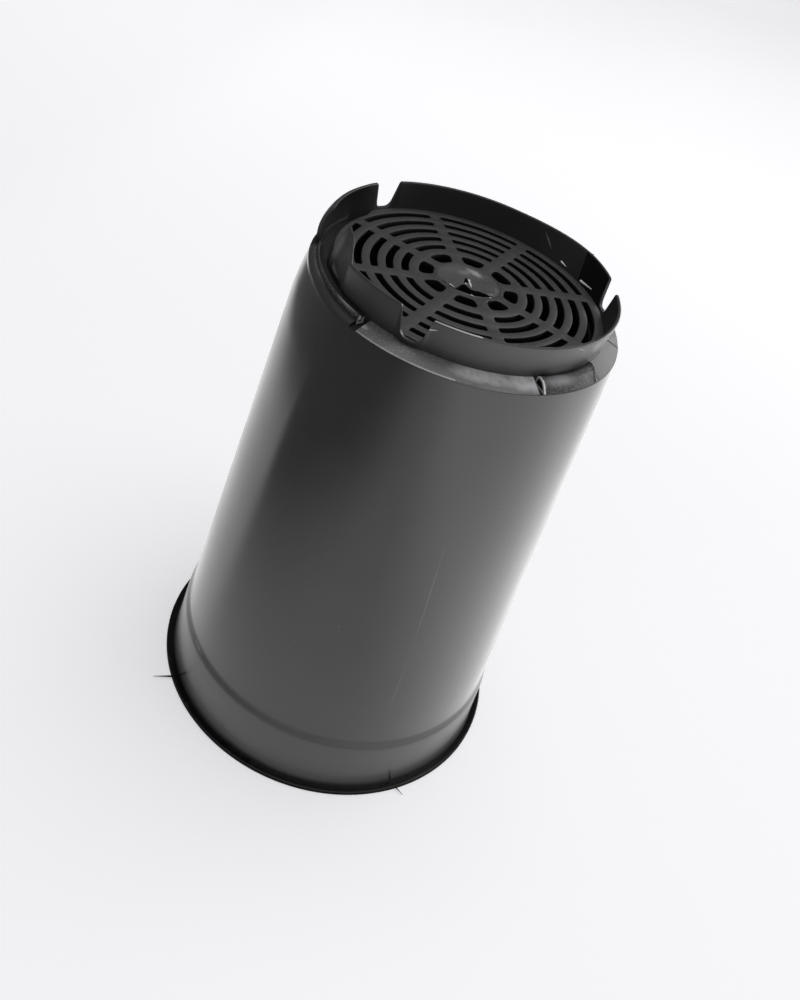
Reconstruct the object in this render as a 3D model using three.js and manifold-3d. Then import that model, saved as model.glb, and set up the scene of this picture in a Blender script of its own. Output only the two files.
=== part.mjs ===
// Tall black nursery pot, moulded in one piece and stood mouth down, as photographed.
// Millimetres, +Z up. The origin is the centre of the mouth, on the plane that the rim rests on.
// Angles run in degrees from the front, which is -Y, towards +X.

import * as THREE from 'three';
import { mergeVertices } from 'three/addons/utils/BufferGeometryUtils.js';
import Module from 'manifold-3d';

const wasm = await Module();
wasm.setup();

// Whole pot
const POT_HEIGHT = 240;
const WALL = 1.5;
const ROUND_STEPS = 72;

// Rim flange, the lip round the mouth
const MOUTH_RADIUS = 85;
const FLANGE_WIDTH = 3.8;
const FLANGE_THICKNESS = 2.2;
const FLANGE_EDGE_ROUND = 0.7;

// Collar, the upright band above the flange, and the shoulder that steps in to the wall
const COLLAR_HEIGHT = 29.8;
const COLLAR_TAPER = 2.1;
const COLLAR_ROOT_FLARE = 1.2;
const COLLAR_ROOT_HEIGHT = 4.5;
const SHOULDER_HEIGHT = 3.4;
const SHOULDER_STEP = 1.6;

// Tapered wall and the nesting ledge that it ends in
const LEDGE_RADIUS = 63.3;
const LEDGE_WIDTH = 7.5;
const LEDGE_THICKNESS = 1.6;
const LEDGE_EDGE_ROUND = 0.8;

// Foot: the ring that the pot stands on when it is planted
const FOOT_HEIGHT = 15.5;
const FOOT_FLARE = 1.8;
const FOOT_WALL = 1.4;

// Drain notches in the foot
const NOTCH_ANGLES = [-11, 111, 232];
const NOTCH_WIDTH = 12.3;
const NOTCH_FLOOR_WIDTH = 7.4;
const NOTCH_CORNER = 3.4;
const NOTCH_SINK = 0.3;

// Split in the foot's left wall: the front flap is bent to a flat, and the rear flap bellies out low down
const SPLIT_FROM_ANGLE = -84;
const SPLIT_TO_ANGLE = -72;
const FLAT_ANGLE = -76.1;
const FLAT_RADIUS = 48.3;
const FLAT_ROOT_SHARE = 0.2;
const BELLY_DEPTH = 3.6;
const BELLY_FROM_ANGLE = -122;
const BELLY_TO_ANGLE = -108;
const BELLY_PEAK_SHARE = 1 / 3;
const BELLY_FACET = 3;

// Back wall of the foot, spread outward along its top
const SPREAD_DEPTH = 2.7;
const SPREAD_ANGLE = 138;
const SPREAD_REACH_ANGLE = 36;

// Drainage grille, set back inside the foot
const GRILLE_RECESS = 10.8;
const GRILLE_THICKNESS = 1.8;
const SPOKE_COUNT = 8;
const SPOKE_WIDTH = 4.8;
const SPOKE_FIRST_ANGLE = 28;
const HUB_RADIUS = 14.8;
const HUB_OPENING_DEPTH = 5.3;
const HUB_OPENING_CORNER = 1.4;
const SLOT_COUNT = 5;
const SLOT_WIDTH = 2.9;
const SLOT_CORNER = 0.5;
const FIRST_BAR_WIDTH = 3.8;
const GRILLE_MARGIN = 3;
const SLOT_STEP_DEGREES = 5;

// Gate pad, the round boss where the plastic entered the mould
const GATE_PAD_RADIUS = 9.5;
const GATE_PAD_HEIGHT = 0.7;
const GATE_PAD_EDGE = 0.5;

// Sloping band on the ledge, high at the foot and low at the wall: pads, and lugs between them
const BAND_CLEARANCE = 0.35;
const BAND_INSET = 0.3;
const BAND_INNER_RISE = 2.9;
const BAND_OUTER_RISE = 0.5;

// Denesting lugs, crowned stretches of the band that stop stacked pots from jamming
const LUGS = [
  { name: 'denest_lug_right', middle: 65 },
  { name: 'denest_lug_back', middle: 185 },
  { name: 'denest_lug_left', middle: 305 },
];
const LUG_SPAN_ANGLE = 54;
const LUG_CROWN = 1.6;
const LUG_CROWN_STEPS = 6;

// Pads, the plain stretches of the band
const PADS = [
  { name: 'ledge_pad_front', middle: 5 },
  { name: 'ledge_pad_right_rear', middle: 125 },
  { name: 'ledge_pad_left_rear', middle: 245 },
];
const PAD_GAP_ANGLE = 0.7;

// Places that follow from the sizes above
const ledgeTop = POT_HEIGHT - FOOT_HEIGHT;
const ledgeBottom = ledgeTop - LEDGE_THICKNESS;
const grilleTop = POT_HEIGHT - GRILLE_RECESS;
const grilleBottom = grilleTop - GRILLE_THICKNESS;
const shoulderTop = COLLAR_HEIGHT + SHOULDER_HEIGHT;
const collarRootRadius = MOUTH_RADIUS - FLANGE_WIDTH;
const collarTopRadius = collarRootRadius - COLLAR_TAPER;
const wallBottomRadius = collarTopRadius - SHOULDER_STEP;
const footRootRadius = LEDGE_RADIUS - LEDGE_WIDTH;
const footInnerRadius = footRootRadius - FOOT_WALL;
const hubOpeningRim = HUB_RADIUS + HUB_OPENING_DEPTH;
const firstSlotRadius = hubOpeningRim + FIRST_BAR_WIDTH;
const slotPitch = (footInnerRadius - GRILLE_MARGIN - SLOT_WIDTH - firstSlotRadius) / (SLOT_COUNT - 1);

// Corners that turn by more than this are rounded, and a rounding takes less than half of a side.
const SHARP_TURN = Math.PI / 4;
const LARGEST_CUT = 0.45;

const black = {
  satin: new THREE.MeshStandardMaterial({ color: 0x17181a, roughness: 0.42, metalness: 0 }),
  gloss: new THREE.MeshStandardMaterial({ color: 0x0a0a0b, roughness: 0.22, metalness: 0 }),
  grille: new THREE.MeshStandardMaterial({ color: 0x1b1c1e, roughness: 0.55, metalness: 0 }),
};

const pot = new THREE.Group();

// Small helpers

function onCircle(radius, degrees) {
  const angle = THREE.MathUtils.degToRad(degrees);
  return new THREE.Vector2(radius * Math.sin(angle), -radius * Math.cos(angle));
}

function addMesh(name, geometry, material) {
  const mesh = new THREE.Mesh(geometry, material);
  mesh.name = name;
  pot.add(mesh);
}

// A full ring whose section is the closed outline [[radius, height], ...], listed anticlockwise.
function ring(outline) {
  const points = [...outline, outline[0]].map(([radius, height]) => new THREE.Vector2(radius, height));
  const geometry = new THREE.LatheGeometry(points, ROUND_STEPS);
  return geometry.rotateX(Math.PI / 2);
}

function toSolid(geometry) {
  const bare = geometry.clone();
  bare.deleteAttribute('normal');
  bare.deleteAttribute('uv');
  const merged = mergeVertices(bare);
  const mesh = new wasm.Mesh({
    numProp: 3,
    vertProperties: new Float32Array(merged.attributes.position.array),
    triVerts: new Uint32Array(merged.index.array),
  });
  return new wasm.Manifold(mesh);
}

function toGeometry(solid) {
  const mesh = solid.getMesh();
  const geometry = new THREE.BufferGeometry();
  geometry.setAttribute('position', new THREE.BufferAttribute(mesh.vertProperties, 3));
  geometry.setIndex(new THREE.BufferAttribute(mesh.triVerts, 1));
  geometry.computeVertexNormals();
  return geometry;
}

// A pie slice about the Z axis, used to keep one stretch of a ring.
function pieSlice(fromDegrees, toDegrees, radius, bottom, top) {
  const steps = Math.ceil((toDegrees - fromDegrees) / 30);
  const reach = radius / Math.cos(THREE.MathUtils.degToRad(15));
  const corners = [new THREE.Vector2(0, 0)];
  for (let step = 0; step <= steps; step += 1) {
    corners.push(onCircle(reach, fromDegrees + ((toDegrees - fromDegrees) * step) / steps));
  }
  const depth = top - bottom;
  const slice = new THREE.ExtrudeGeometry(new THREE.Shape(corners), { depth, bevelEnabled: false });
  return slice.translate(0, 0, bottom);
}

// Rounds the sharp corners of a closed outline and keeps its gentle bends as they are.
function softenCorners(outline, radius, curveSteps) {
  const count = outline.length;
  const softened = [];
  outline.forEach((point, index) => {
    const before = outline[(index + count - 1) % count];
    const after = outline[(index + 1) % count];
    const turn = Math.abs(point.clone().sub(before).angle() - after.clone().sub(point).angle());
    if (Math.min(turn, 2 * Math.PI - turn) < SHARP_TURN) {
      softened.push(point);
      return;
    }
    const entry = point.clone().lerp(before, Math.min(radius / point.distanceTo(before), LARGEST_CUT));
    const leave = point.clone().lerp(after, Math.min(radius / point.distanceTo(after), LARGEST_CUT));
    softened.push(...new THREE.QuadraticBezierCurve(entry, point, leave).getPoints(curveSteps));
  });
  return softened;
}

// Rim flange

function rimFlange() {
  const inner = collarRootRadius - WALL;
  const edge = FLANGE_EDGE_ROUND;
  return ring([
    [inner, 0],
    [MOUTH_RADIUS - edge, 0],
    [MOUTH_RADIUS, edge],
    [MOUTH_RADIUS, FLANGE_THICKNESS - edge],
    [MOUTH_RADIUS - edge, FLANGE_THICKNESS],
    [inner, FLANGE_THICKNESS],
  ]);
}

// Collar, with the small concave flare at its root

function collar() {
  const rootTop = FLANGE_THICKNESS + COLLAR_ROOT_HEIGHT;
  const slope = COLLAR_TAPER / (COLLAR_HEIGHT - FLANGE_THICKNESS);
  const radiusAt = (height) => collarRootRadius - slope * (height - FLANGE_THICKNESS);
  const flareHeight = COLLAR_ROOT_HEIGHT / 3;
  return ring([
    [collarRootRadius - WALL, FLANGE_THICKNESS],
    [radiusAt(FLANGE_THICKNESS) + COLLAR_ROOT_FLARE, FLANGE_THICKNESS],
    [radiusAt(FLANGE_THICKNESS + flareHeight) + COLLAR_ROOT_FLARE / 3, FLANGE_THICKNESS + flareHeight],
    [radiusAt(rootTop), rootTop],
    [collarTopRadius, COLLAR_HEIGHT],
    [collarTopRadius - WALL, COLLAR_HEIGHT],
  ]);
}

// Shoulder, a soft step from the collar in to the wall

function shoulder() {
  const middle = (COLLAR_HEIGHT + shoulderTop) / 2;
  const waist = (collarTopRadius + wallBottomRadius) / 2;
  const softening = SHOULDER_STEP / 5;
  return ring([
    [collarTopRadius - WALL, COLLAR_HEIGHT],
    [collarTopRadius, COLLAR_HEIGHT],
    [waist + softening, middle - SHOULDER_HEIGHT / 4],
    [waist - softening, middle + SHOULDER_HEIGHT / 4],
    [wallBottomRadius, shoulderTop],
    [wallBottomRadius - WALL, shoulderTop],
  ]);
}

// Tapered wall

function bodyWall() {
  return ring([
    [wallBottomRadius - WALL, shoulderTop],
    [wallBottomRadius, shoulderTop],
    [LEDGE_RADIUS, ledgeBottom],
    [LEDGE_RADIUS - WALL, ledgeBottom],
  ]);
}

// Nesting ledge, the flat step between the wall and the foot

function baseLedge() {
  const edge = LEDGE_EDGE_ROUND;
  return ring([
    [footInnerRadius, ledgeBottom],
    [LEDGE_RADIUS, ledgeBottom],
    [LEDGE_RADIUS, ledgeTop - edge],
    [LEDGE_RADIUS - edge, ledgeTop],
    [footInnerRadius, ledgeTop],
  ]);
}

// Keeps the stretch of a ledge ring that runs half an angle to each side of its middle.
function ledgeStretch(fullRing, middle, half) {
  const slice = pieSlice(middle - half, middle + half, LEDGE_RADIUS, ledgeTop - 1, POT_HEIGHT);
  return toGeometry(toSolid(fullRing).intersect(toSolid(slice)));
}

// Section of the band, whose sloping top is crowned by a height at its middle.
function bandSection(crown, steps) {
  const inner = footRadiusAt(grilleTop) + BAND_CLEARANCE;
  const outer = LEDGE_RADIUS - BAND_INSET;
  const top = [];
  for (let step = 0; step <= steps; step += 1) {
    const share = step / steps;
    const slope = BAND_OUTER_RISE + (BAND_INNER_RISE - BAND_OUTER_RISE) * share;
    const radius = outer + (inner - outer) * share;
    top.push([radius, ledgeTop + slope + crown * Math.sin(Math.PI * share)]);
  }
  return [[inner, ledgeTop], [outer, ledgeTop], ...top];
}

// Denesting lugs

function denestLug(middle) {
  const crowned = ring(bandSection(LUG_CROWN, LUG_CROWN_STEPS));
  return ledgeStretch(crowned, middle, LUG_SPAN_ANGLE / 2);
}

// Ledge pads, each ending just short of the lugs on both sides

function ledgePad(middle) {
  const span = 360 / PADS.length - LUG_SPAN_ANGLE - 2 * PAD_GAP_ANGLE;
  return ledgeStretch(ring(bandSection(0, 1)), middle, span / 2);
}

// Foot root, the short ring that carries the grille and the foot walls

function footRadiusAt(height) {
  return footRootRadius + (FOOT_FLARE * (height - ledgeTop)) / FOOT_HEIGHT;
}

function footRoot() {
  return ring([
    [footInnerRadius, ledgeTop],
    [footRadiusAt(ledgeTop), ledgeTop],
    [footRadiusAt(grilleBottom), grilleBottom],
    [footRadiusAt(grilleBottom) - FOOT_WALL, grilleBottom],
  ]);
}

// Foot walls: a flared ring, parted by the drain notches and by the split

function footRing() {
  return ring([
    [footRadiusAt(grilleTop) - FOOT_WALL, grilleTop],
    [footRadiusAt(grilleTop), grilleTop],
    [footRadiusAt(POT_HEIGHT), POT_HEIGHT],
    [footRadiusAt(POT_HEIGHT) - FOOT_WALL, POT_HEIGHT],
  ]);
}

function notchCutter(degrees) {
  const floor = grilleTop - NOTCH_SINK;
  const above = POT_HEIGHT + NOTCH_SINK;
  const corners = [
    new THREE.Vector2(-NOTCH_WIDTH / 2, above),
    new THREE.Vector2(-NOTCH_FLOOR_WIDTH / 2, floor),
    new THREE.Vector2(NOTCH_FLOOR_WIDTH / 2, floor),
    new THREE.Vector2(NOTCH_WIDTH / 2, above),
  ];
  const shape = new THREE.Shape(softenCorners(corners, NOTCH_CORNER, 5));
  const depth = 2 * (FOOT_WALL + FOOT_FLARE);
  const cutter = new THREE.ExtrudeGeometry(shape, { depth, bevelEnabled: false });
  cutter.rotateX(Math.PI / 2);
  cutter.translate(0, -(footRootRadius - depth / 2), 0);
  return cutter.rotateZ(THREE.MathUtils.degToRad(degrees));
}

// How far the foot's wall stands outside its true circle, below 0 where it is bent in. Rise is the share of
// the wall's height.
function footShift(degrees, rise) {
  const radius = footRadiusAt(grilleTop + rise * GRILLE_RECESS);
  const splitMiddle = (SPLIT_FROM_ANGLE + SPLIT_TO_ANGLE) / 2;
  if (degrees > splitMiddle && degrees < NOTCH_ANGLES[0]) {
    const flat = FLAT_RADIUS / Math.cos(THREE.MathUtils.degToRad(degrees - FLAT_ANGLE));
    return -Math.max(0, radius - flat) * (FLAT_ROOT_SHARE + (1 - FLAT_ROOT_SHARE) * rise);
  }
  if (degrees > BELLY_FROM_ANGLE && degrees < splitMiddle) {
    const profile = (rise * (1 - rise) ** 2) / (BELLY_PEAK_SHARE * (1 - BELLY_PEAK_SHARE) ** 2);
    return BELLY_DEPTH * THREE.MathUtils.smoothstep(degrees, BELLY_FROM_ANGLE, BELLY_TO_ANGLE) * profile;
  }
  const nearness = 1 - Math.abs(degrees - SPREAD_ANGLE) / SPREAD_REACH_ANGLE;
  return SPREAD_DEPTH * THREE.MathUtils.smoothstep(nearness, 0, 1) * rise;
}

function bendFootWall(geometry) {
  const position = geometry.attributes.position;
  for (let index = 0; index < position.count; index += 1) {
    const x = position.getX(index);
    const y = position.getY(index);
    const rise = (position.getZ(index) - grilleTop) / GRILLE_RECESS;
    const degrees = THREE.MathUtils.radToDeg(Math.atan2(x, -y));
    const stretch = 1 + footShift(degrees, rise) / Math.hypot(x, y);
    position.setXY(index, x * stretch, y * stretch);
  }
  geometry.computeVertexNormals();
  return geometry;
}

function footWalls() {
  const notched = NOTCH_ANGLES.reduce(
    (solid, degrees) => solid.subtract(toSolid(notchCutter(degrees))),
    toSolid(footRing()),
  );
  const [first, second, third] = NOTCH_ANGLES;
  const stretches = [
    { name: 'foot_wall_right', from: first, to: second },
    { name: 'foot_wall_back', from: second, to: third },
    { name: 'foot_wall_left_rear', from: third - 360, to: SPLIT_FROM_ANGLE },
    { name: 'foot_wall_left_front', from: SPLIT_TO_ANGLE, to: first },
  ];
  for (const { name, from, to } of stretches) {
    const slice = pieSlice(from, to, MOUTH_RADIUS, grilleTop - 1, POT_HEIGHT + 1);
    const stretch = notched.intersect(toSolid(slice));
    const wall = name === 'foot_wall_left_rear' ? stretch.refineToLength(BELLY_FACET) : stretch;
    addMesh(name, bendFootWall(toGeometry(wall)), black.satin);
  }
}

// Drainage grille: a hub, eight spokes and the bars between five rows of curved slots

// The four corners of one opening between two spokes, with its curved sides stepped.
function spokeGap(innerRadius, outerRadius, spokeDegrees, corner) {
  const gapDegrees = 360 / SPOKE_COUNT;
  const middle = spokeDegrees + gapDegrees / 2;
  const halfAngle = (radius) => {
    const spokeHalf = THREE.MathUtils.radToDeg(Math.asin(SPOKE_WIDTH / 2 / radius));
    return gapDegrees / 2 - spokeHalf;
  };
  const arc = (radius, direction) => {
    const half = halfAngle(radius);
    const steps = Math.max(1, Math.round((2 * half) / SLOT_STEP_DEGREES));
    const points = [];
    for (let step = 0; step <= steps; step += 1) {
      points.push(onCircle(radius, middle + direction * half * ((2 * step) / steps - 1)));
    }
    return points;
  };
  return softenCorners([...arc(outerRadius, 1), ...arc(innerRadius, -1)], corner, 2);
}

function drainageGrille() {
  const plate = new THREE.Shape();
  const plateRadius = footRadiusAt(grilleBottom);
  for (let step = 0; step < ROUND_STEPS; step += 1) {
    const point = onCircle(plateRadius, (360 * step) / ROUND_STEPS);
    if (step === 0) {
      plate.moveTo(point.x, point.y);
    } else {
      plate.lineTo(point.x, point.y);
    }
  }
  plate.closePath();
  for (let spoke = 0; spoke < SPOKE_COUNT; spoke += 1) {
    const degrees = SPOKE_FIRST_ANGLE + (360 / SPOKE_COUNT) * spoke;
    plate.holes.push(new THREE.Path(spokeGap(HUB_RADIUS, hubOpeningRim, degrees, HUB_OPENING_CORNER)));
    for (let slot = 0; slot < SLOT_COUNT; slot += 1) {
      const inner = firstSlotRadius + slotPitch * slot;
      plate.holes.push(new THREE.Path(spokeGap(inner, inner + SLOT_WIDTH, degrees, SLOT_CORNER)));
    }
  }
  const grille = new THREE.ExtrudeGeometry(plate, { depth: GRILLE_THICKNESS, bevelEnabled: false });
  return grille.translate(0, 0, grilleBottom);
}

// Gate pad

function gatePad() {
  const top = grilleTop + GATE_PAD_HEIGHT;
  const points = [
    [0, grilleTop],
    [GATE_PAD_RADIUS, grilleTop],
    [GATE_PAD_RADIUS - GATE_PAD_EDGE, top],
    [0, top],
  ].map(([radius, height]) => new THREE.Vector2(radius, height));
  return new THREE.LatheGeometry(points, ROUND_STEPS / 2).rotateX(Math.PI / 2);
}

addMesh('rim_flange', rimFlange(), black.gloss);
addMesh('collar', collar(), black.satin);
addMesh('shoulder', shoulder(), black.satin);
addMesh('body_wall', bodyWall(), black.satin);
addMesh('base_ledge', baseLedge(), black.satin);
LUGS.forEach(({ name, middle }) => addMesh(name, denestLug(middle), black.satin));
PADS.forEach(({ name, middle }) => addMesh(name, ledgePad(middle), black.satin));
addMesh('foot_root', footRoot(), black.satin);
footWalls();
addMesh('drainage_grille', drainageGrille(), black.grille);
addMesh('gate_pad', gatePad(), black.grille);

export default pot;
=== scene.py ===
"""Tall black nursery pot, stood mouth down on its rim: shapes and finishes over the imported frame.

Lengths are metres in the frame's own axes, with +Z from the mouth up to the foot. Angles round the pot run in
degrees from the front, which is -Y, towards +X.
"""

import functools
import logging
import math
from collections.abc import Callable
from dataclasses import dataclass
from enum import Enum

import bmesh
import bpy
from mathutils import Matrix, Vector, geometry, noise


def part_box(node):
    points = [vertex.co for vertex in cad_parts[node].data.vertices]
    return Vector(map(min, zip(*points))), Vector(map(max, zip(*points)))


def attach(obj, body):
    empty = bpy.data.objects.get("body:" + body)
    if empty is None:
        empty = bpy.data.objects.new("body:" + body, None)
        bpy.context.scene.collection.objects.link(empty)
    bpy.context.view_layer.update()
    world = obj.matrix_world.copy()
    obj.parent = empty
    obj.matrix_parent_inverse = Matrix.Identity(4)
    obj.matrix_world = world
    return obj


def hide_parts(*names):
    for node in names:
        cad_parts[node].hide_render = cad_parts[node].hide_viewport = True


MM = 0.001
WELD = 1e-7
CORNER_SEGMENTS = 5
# A face whose normal rises less than this counts as a side
STEEP = 0.3
BODY = "root"

# Radius, angle and height of a shred's thick end, then of its thin end, then its half width: mm and degrees
Shred = tuple[float, float, float, float, float, float, float]

log = logging.getLogger("pot")

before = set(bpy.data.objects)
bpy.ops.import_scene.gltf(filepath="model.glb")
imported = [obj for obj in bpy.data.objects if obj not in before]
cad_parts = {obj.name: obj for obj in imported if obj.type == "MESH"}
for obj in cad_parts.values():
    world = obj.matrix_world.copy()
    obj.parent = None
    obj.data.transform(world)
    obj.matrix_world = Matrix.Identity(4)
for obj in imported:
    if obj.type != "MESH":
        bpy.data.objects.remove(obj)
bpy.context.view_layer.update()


def angle_of(point: Vector) -> float:
    """Gives a point's angle round the pot, in degrees from the front."""
    return math.degrees(math.atan2(point.x, -point.y))


def on_circle(radius: float, degrees: float, height: float) -> Vector:
    """Gives the point at a radius, an angle and a height.

    Args:
        radius: distance from the pot's axis.
        degrees: angle from the front.
        height: distance above the mouth.

    Returns:
        The point in the frame's axes.
    """
    turn = math.radians(degrees)
    return Vector((radius * math.sin(turn), -radius * math.cos(turn), height))


def axis_distance(point: Vector) -> float:
    """Gives a point's distance from the pot's axis."""
    return math.hypot(point.x, point.y)


def smooth_step(low: float, high: float, value: float) -> float:
    """Rises smoothly from 0 at low to 1 at high, or falls if low is above high.

    Args:
        low: value where the step starts.
        high: value where the step ends.
        value: where to read it.

    Returns:
        The step's height, from 0 to 1.
    """
    share = min(1.0, max(0.0, (value - low) / (high - low)))
    return share * share * (3 - 2 * share)


def within(degrees: float, start: float, end: float) -> bool:
    """Says whether an angle lies on the stretch that runs up from start to end."""
    return (degrees - start) % 360 <= (end - start) % 360


@functools.cache
def outer_radius(node: str) -> float:
    """Gives the largest radius of a round CAD node."""
    return max(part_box(node)[1].x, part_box(node)[1].y)


def sides_of(loop: list) -> list[tuple]:
    """Pairs each corner of a closed outline with the next one."""
    return list(zip(loop, loop[1:] + loop[:1]))


def wire_outline(points: list[tuple[float, float, float]]) -> bmesh.types.BMesh:
    """Draws a closed section in the XZ plane and rounds its corners.

    Args:
        points: radius, height and corner rounding of each corner, in order round the section.

    Returns:
        A mesh of edges alone, ready to spin.
    """
    mesh = bmesh.new()
    corners = [mesh.verts.new((radius, 0, height)) for radius, height, _ in points]
    for side in sides_of(corners):
        mesh.edges.new(side)
    for corner, (_, _, rounding) in zip(corners, points):
        if rounding > 0:
            bmesh.ops.bevel(
                mesh, geom=[corner], offset=rounding, segments=CORNER_SEGMENTS, profile=0.5,
                affect="VERTICES", material=-1,
            )
    return mesh


def cut_long_edges(mesh: bmesh.types.BMesh, longest: float) -> None:
    """Splits the edges of a section until none is longer than a length.

    Args:
        mesh: the section.
        longest: the longest edge to leave.
    """
    for edge in list(mesh.edges):
        cuts = math.ceil(edge.calc_length() / longest) - 1
        if cuts > 0:
            bmesh.ops.subdivide_edges(mesh, edges=[edge], cuts=cuts)


def spin(mesh: bmesh.types.BMesh, degrees: float, steps: int) -> None:
    """Spins all of a mesh round the pot's axis, joined up if it comes full circle.

    Args:
        mesh: the section, which becomes the shape.
        degrees: how far to spin it.
        steps: number of rows.
    """
    bmesh.ops.spin(
        mesh, geom=mesh.faces[:] + mesh.verts[:] + mesh.edges[:], cent=(0, 0, 0), axis=(0, 0, 1),
        dvec=(0, 0, 0), angle=math.radians(degrees), steps=steps, use_merge=degrees == 360,
        use_duplicate=False,
    )
    bmesh.ops.remove_doubles(mesh, verts=mesh.verts[:], dist=WELD)
    bmesh.ops.recalc_face_normals(mesh, faces=mesh.faces[:])


def ring(points: list[tuple[float, float, float]], steps: int, row: float = math.inf) -> bmesh.types.BMesh:
    """Spins a section once round the pot's axis into a closed skin.

    Args:
        points: radius, height and corner rounding of each corner, in order round the section.
        steps: number of facets round the pot.
        row: the longest edge to leave in the section.

    Returns:
        The skin.
    """
    mesh = wire_outline(points)
    cut_long_edges(mesh, row)
    spin(mesh, 360, steps)
    return mesh


def sweep(mesh: bmesh.types.BMesh, start: float, end: float, step: float) -> None:
    """Sweeps a closed section along a stretch of the circle into a solid bar with two end faces.

    Args:
        mesh: the section, which becomes the bar.
        start: angle where the bar starts.
        end: angle where it ends.
        step: rough angle between rows.
    """
    bmesh.ops.contextual_create(mesh, geom=mesh.edges[:])
    turn = Matrix.Rotation(math.radians(start - 90), 3, "Z")
    bmesh.ops.rotate(mesh, verts=mesh.verts[:], cent=(0, 0, 0), matrix=turn)
    spin(mesh, end - start, round((end - start) / step))


def thicken(mesh: bmesh.types.BMesh, depth: float) -> None:
    """Gives a level sheet thickness downwards.

    Args:
        mesh: the sheet.
        depth: its thickness.
    """
    raised = bmesh.ops.extrude_face_region(mesh, geom=mesh.faces[:])
    lower = [item for item in raised["geom"] if isinstance(item, bmesh.types.BMVert)]
    bmesh.ops.translate(mesh, verts=lower, vec=(0, 0, -depth))
    bmesh.ops.recalc_face_normals(mesh, faces=mesh.faces[:])


def shift_out(point: bmesh.types.BMVert, outward: float) -> None:
    """Moves a point straight away from the pot's axis, or towards it if the distance is below 0."""
    stretch = 1 + outward / axis_distance(point.co)
    point.co.x *= stretch
    point.co.y *= stretch


@dataclass(frozen=True)
class LeftDent:
    """Where the top of the pot's wall, and what stands on its edge, is pressed softly in."""

    rear_end: float = -135
    rear_full: float = -108
    front_full: float = -62
    front_end: float = -36
    drop: float = 13 * MM
    inner: float = 57 * MM
    outer: float = 61.5 * MM
    depth: float = 1.7 * MM

    def press(self, mesh: bmesh.types.BMesh) -> None:
        """Presses a piece in along the left side.

        Args:
            mesh: the piece.
        """
        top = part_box("body_wall")[1].z
        for point in mesh.verts:
            turn = angle_of(point.co)
            share = smooth_step(self.rear_end, self.rear_full, turn)
            share *= smooth_step(self.front_end, self.front_full, turn)
            share *= smooth_step(top - self.drop, top, point.co.z)
            share *= smooth_step(self.inner, self.outer, axis_distance(point.co))
            shift_out(point, -self.depth * share)


def lay_shreds(mesh: bmesh.types.BMesh, shreds: list[tuple[Vector, Vector, float]], index: int) -> None:
    """Adds thin pointed shreds of plastic to a piece.

    Args:
        mesh: the piece.
        shreds: thick end, thin end and half width of each.
        index: place of their finish in the piece's list.
    """
    for start, end, half in shreds:
        facing = (end - start).to_track_quat("Z", "Y").to_matrix().to_4x4()
        shred = bmesh.ops.create_cone(
            mesh,
            cap_ends=True,
            segments=5,
            radius1=half,
            radius2=0.3 * half,
            depth=(end - start).length,
            matrix=Matrix.Translation((start + end) / 2) @ facing,
        )
        for face in {face for point in shred["verts"] for face in point.link_faces}:
            face.material_index = index


def place_shreds(shreds: tuple[Shred, ...]) -> list[tuple[Vector, Vector, float]]:
    """Turns shreds given by radius, angle and height into points."""
    return [
        (on_circle(r_from * MM, t_from, z_from * MM), on_circle(r_to * MM, t_to, z_to * MM), half * MM)
        for r_from, t_from, z_from, r_to, t_to, z_to, half in shreds
    ]


@dataclass(frozen=True)
class HubLift:
    """How the grille is bent up in front of the cracked hub."""

    across: float = 2 * MM
    away: float = -13 * MM
    rise: float = 1.0 * MM
    near: float = 8 * MM
    far: float = 20 * MM

    def bend(self, mesh: bmesh.types.BMesh) -> None:
        """Bends a piece up round the lifted spot.

        Args:
            mesh: the piece.
        """
        for point in mesh.verts:
            apart = math.hypot(point.co.x - self.across, point.co.y - self.away)
            point.co.z += self.rise * smooth_step(self.far, self.near, apart)


def give_finish(mesh: bmesh.types.BMesh, index: int, chosen: Callable[[Vector, Vector], bool]) -> None:
    """Gives the faces that a test picks one of the piece's further finishes.

    Args:
        mesh: the shape.
        index: the finish's place in the piece's list.
        chosen: test that takes a face's middle and its normal.
    """
    for face in mesh.faces:
        if chosen(face.calc_center_median(), face.normal):
            face.material_index = index


def place_mesh(mesh: bmesh.types.BMesh, name: str) -> bpy.types.Object:
    """Turns a bmesh, freed here, into an object of the scene."""
    data = bpy.data.meshes.new(name)
    mesh.to_mesh(data)
    mesh.free()
    placed = bpy.data.objects.new(name, data)
    bpy.context.scene.collection.objects.link(placed)
    return placed


def finish_piece(
    mesh: bmesh.types.BMesh,
    name: str,
    finishes: "list[MouldedPlastic]",
    replaced: list[str],
    sharp: float = 40,
) -> bpy.types.Object:
    """Turns a bmesh into a piece of the pot that rides on its body.

    Args:
        mesh: the finished shape, freed here.
        name: the piece's name.
        finishes: its finishes, the main one first.
        replaced: the CAD nodes that it stands for.
        sharp: edges that turn by more than this, in degrees, stay crisp.

    Returns:
        The new object.
    """
    piece = place_mesh(mesh, name)
    data = piece.data
    data.shade_smooth()
    data.set_sharp_from_angle(angle=math.radians(sharp))
    for finish in finishes:
        data.materials.append(finish.material())
    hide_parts(*replaced)
    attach(piece, BODY)
    log.info("%s: %d faces", name, len(data.polygons))
    return piece


class Slot(Enum):
    """The record's material slots."""

    SATIN = "satin_black"
    GLOSS = "gloss_black"
    GRILLE = "grille_black"


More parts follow.
